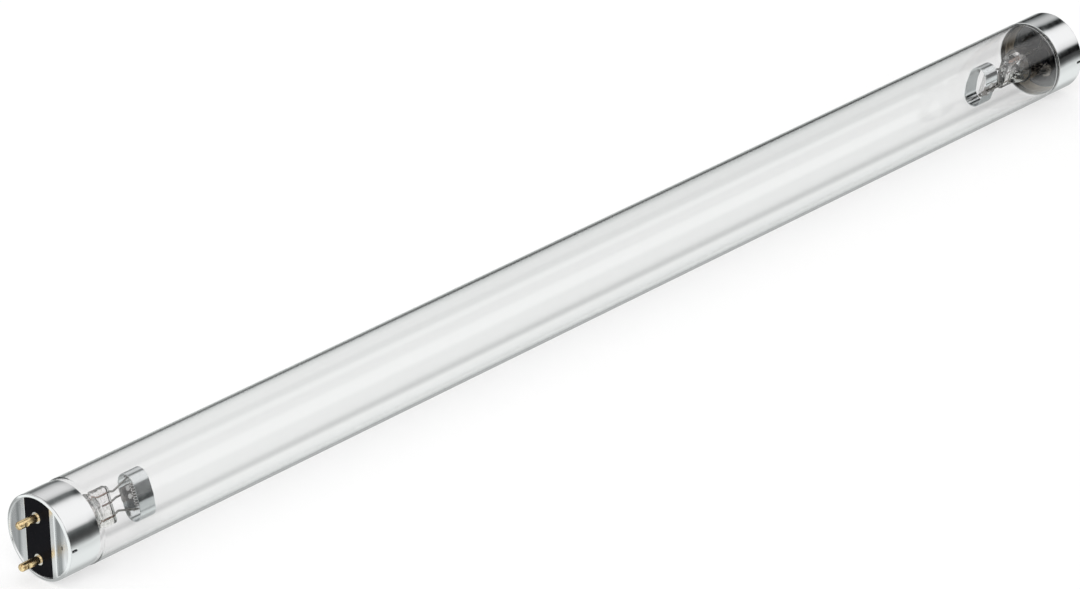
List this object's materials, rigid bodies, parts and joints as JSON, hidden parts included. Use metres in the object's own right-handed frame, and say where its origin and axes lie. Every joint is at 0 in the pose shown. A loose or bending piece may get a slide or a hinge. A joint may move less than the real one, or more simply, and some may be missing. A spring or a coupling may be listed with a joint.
{
  "type": "uvc germicidal lamp tube",
  "caption": "Straight clear-glass UVC germicidal lamp tube with slotted aluminium pin caps, and a glass stem with a shielded coiled filament sealed in at each end.",
  "frame": {"origin": "centre of the lamp, on its axis, halfway between the two cap faces", "axes": "+X along the lamp towards its right end, +Z along the line of each end's pins, +Y across them"},
  "size_m": [0.4516, 0.0254, 0.0254],
  "materials": {
    "clear_glass": "clear, polished",
    "stem_glass": "clear, fire polished, slightly pink",
    "cap_aluminium": "bright drawn aluminium",
    "black_phenolic": "moulded, faintly grained",
    "pin_brass": "bright, slightly worn",
    "capping_cement": "matt, baked",
    "lead_nickel": "drawn wire",
    "filament_tungsten": "coated coil",
    "shield_iron": "bright rolled strip"
  },
  "bodies": {
    "root": {"glass_tube": "clear_glass", "left_cap_shell": "cap_aluminium", "left_cap_insulator": "black_phenolic", "left_contact_pin_upper": "pin_brass", "left_contact_pin_lower": "pin_brass", "left_capping_cement": "capping_cement", "left_stem": "stem_glass", "left_lead_wire_upper": "lead_nickel", "left_lead_wire_lower": "lead_nickel", "left_filament": "filament_tungsten", "left_cathode_shield": "shield_iron", "left_shield_support": "lead_nickel", "right_cap_shell": "cap_aluminium", "right_cap_insulator": "black_phenolic", "right_contact_pin_upper": "pin_brass", "right_contact_pin_lower": "pin_brass", "right_capping_cement": "capping_cement", "right_stem": "stem_glass", "right_lead_wire_upper": "lead_nickel", "right_lead_wire_lower": "lead_nickel", "right_filament": "filament_tungsten", "right_cathode_shield": "shield_iron", "right_shield_support": "lead_nickel"}
  },
  "joints": []
}
